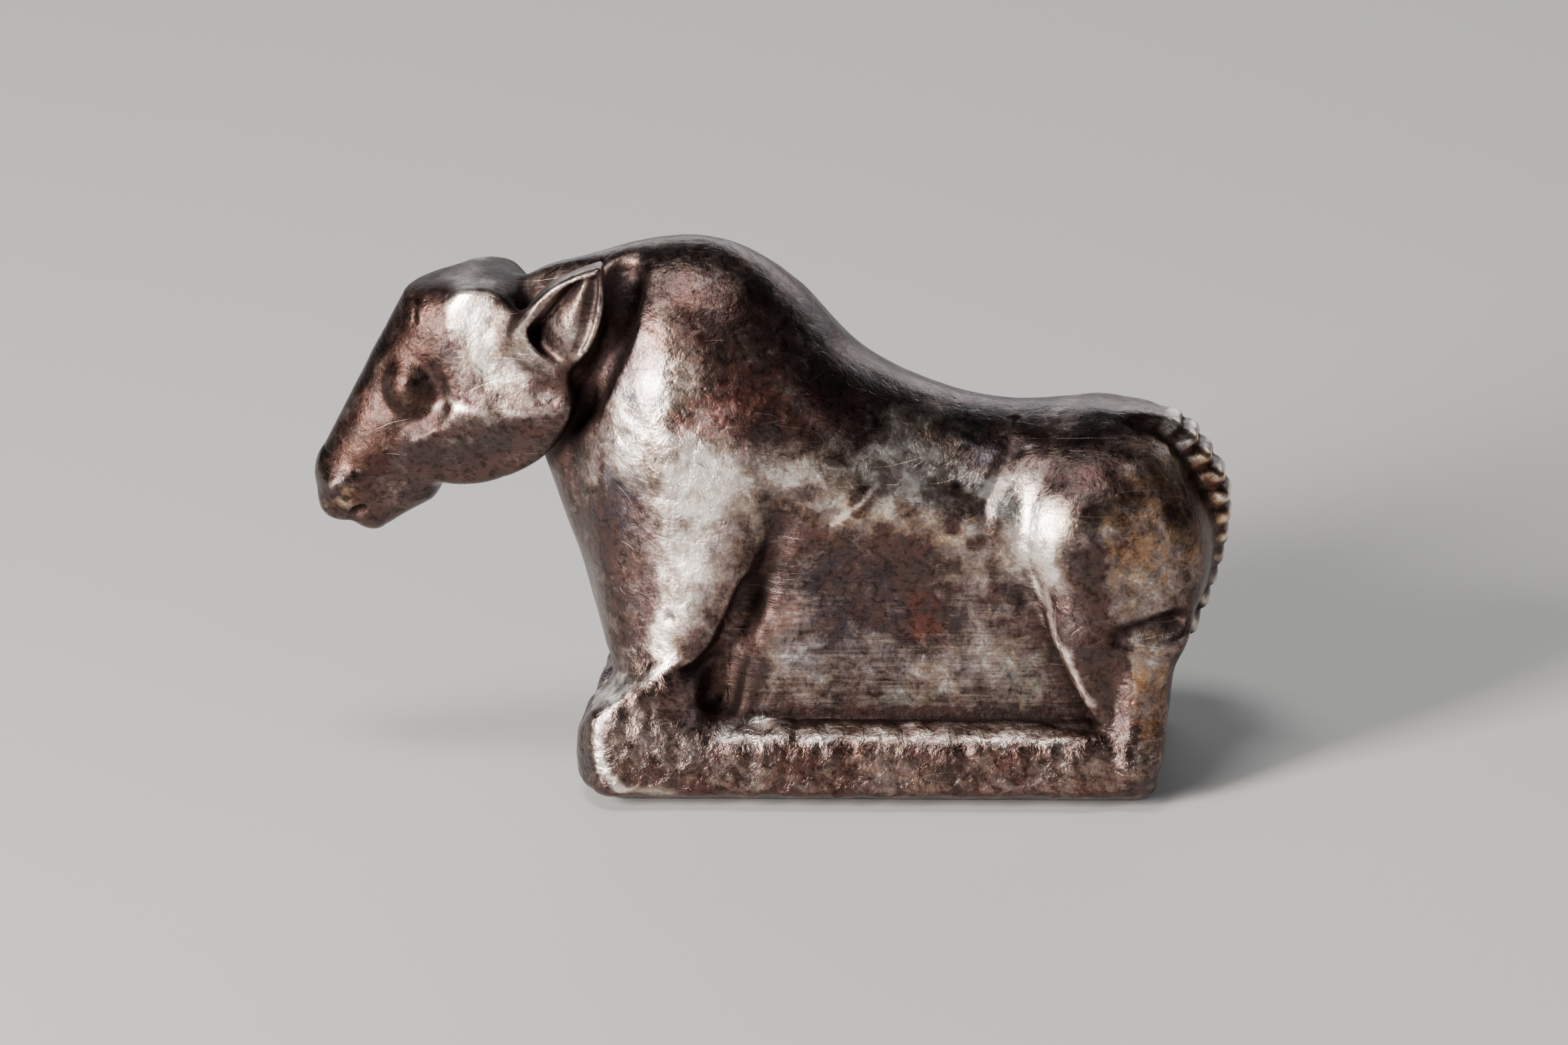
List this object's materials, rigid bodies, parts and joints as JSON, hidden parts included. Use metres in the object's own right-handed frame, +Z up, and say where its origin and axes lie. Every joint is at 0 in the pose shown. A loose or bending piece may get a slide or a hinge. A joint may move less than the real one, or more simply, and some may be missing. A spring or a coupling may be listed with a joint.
{
  "type": "kneeling bull figurine",
  "caption": "Small solid cast silver bull with a high hump, kneeling with folded legs on a low bar that is cast in one piece with it.",
  "frame": {"origin": "middle of the flat underside of the bar that the bull kneels on", "axes": "+Z up, +X towards the rump and the tail, so the head looks along -X, and -Y out of the left flank"},
  "size_m": [0.0689, 0.0234, 0.0414],
  "materials": {
    "silver": "cast silver with a dark brown patina, worn bright on its high places"
  },
  "bodies": {
    "root": {"bull_figurine": "silver"}
  },
  "joints": []
}
